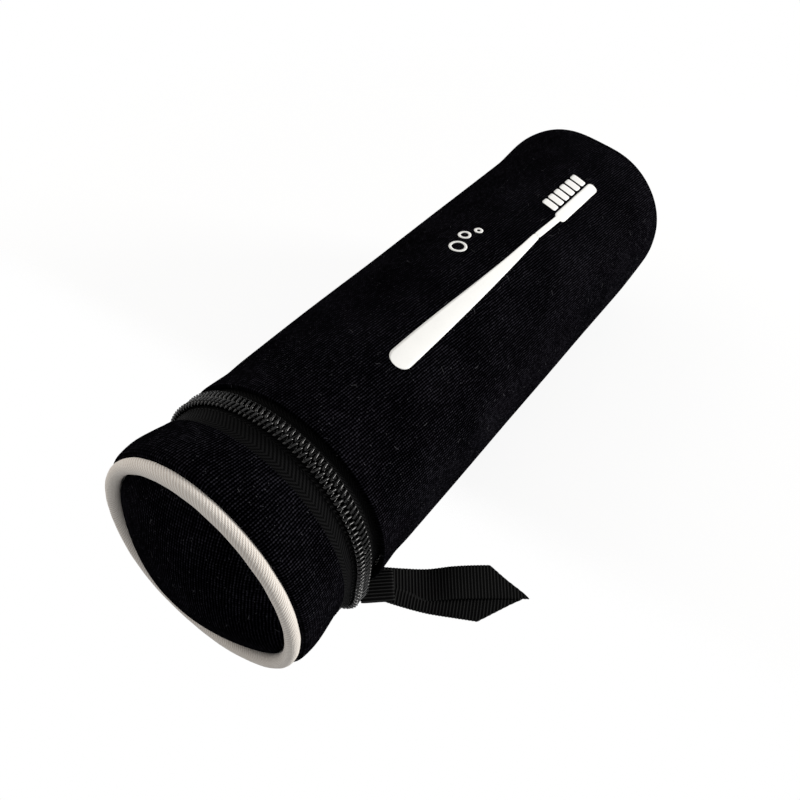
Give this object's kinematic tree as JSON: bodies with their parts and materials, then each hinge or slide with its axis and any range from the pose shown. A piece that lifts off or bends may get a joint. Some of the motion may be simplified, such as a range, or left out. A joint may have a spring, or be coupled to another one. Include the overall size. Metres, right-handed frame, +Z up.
{
  "type": "zip case for a toothbrush",
  "caption": "Round padded fabric case for a toothbrush, with a zip-round hinged lid, contrast piping at the lid's rim and a ribbon zip pull.",
  "frame": {"origin": "middle of the flat on the underside of the body, which it rests on", "axes": "+Y along the tube from the lid to the base, +Z up, +X towards the ribbon"},
  "size_m": [0.104, 0.2371, 0.0711],
  "materials": {
    "black_twill": "matt cotton twill",
    "foam": "open foam",
    "lining": "plain weave",
    "white_piping": "off-white twill",
    "piping_cord": "cotton cord",
    "zip_tape": "herringbone tape",
    "zip_coil": "glossy nylon coil",
    "zip_metal": "black enamel",
    "ribbon": "ribbed grosgrain"
  },
  "bodies": {
    "body": {"body_shell": "black_twill", "body_foam": "foam", "body_lining": "lining", "base_panel": "black_twill", "base_foam": "foam", "base_lining": "lining", "zip_tape_body": "zip_tape", "zip_coil_body": "zip_coil", "zip_tape_closed_end": "zip_tape", "zip_tape_open_end": "zip_tape", "zip_coil_closed_end": "zip_coil", "zip_coil_open_end": "zip_coil", "zip_stop_closed_end": "zip_metal", "zip_stop_open_end": "zip_metal", "hinge_leaf_body": "black_twill"},
    "lid": {"lid_shell": "black_twill", "lid_foam": "foam", "lid_lining": "lining", "lid_end_panel": "black_twill", "lid_end_foam": "foam", "lid_end_lining": "lining", "lid_piping_cover": "white_piping", "lid_piping_cord": "piping_cord", "zip_tape_lid": "zip_tape", "zip_coil_lid": "zip_coil", "hinge_leaf_lid": "black_twill"},
    "slider": {"slider_body": "zip_metal", "slider_bail": "zip_metal"},
    "pull": {"ribbon_pull": "ribbon"}
  },
  "joints": [
    {"name": "lid_hinge", "type": "hinge", "parent": "body", "child": "lid", "pos_m": [0, -0.10003, 0.0011], "axis": [1, 0, 0], "range_deg": [0, 110]},
    {"name": "slider_travel", "type": "hinge", "parent": "body", "child": "slider", "pos_m": [0, -0.10003, 0.0351], "axis": [0, -1, 0], "range_deg": [0, 293.9]},
    {"name": "pull_swing", "type": "hinge", "parent": "slider", "child": "pull", "pos_m": [0.0209, -0.10003, 0.00294], "axis": [0, -1, 0], "range_deg": [-15, 20]}
  ]
}
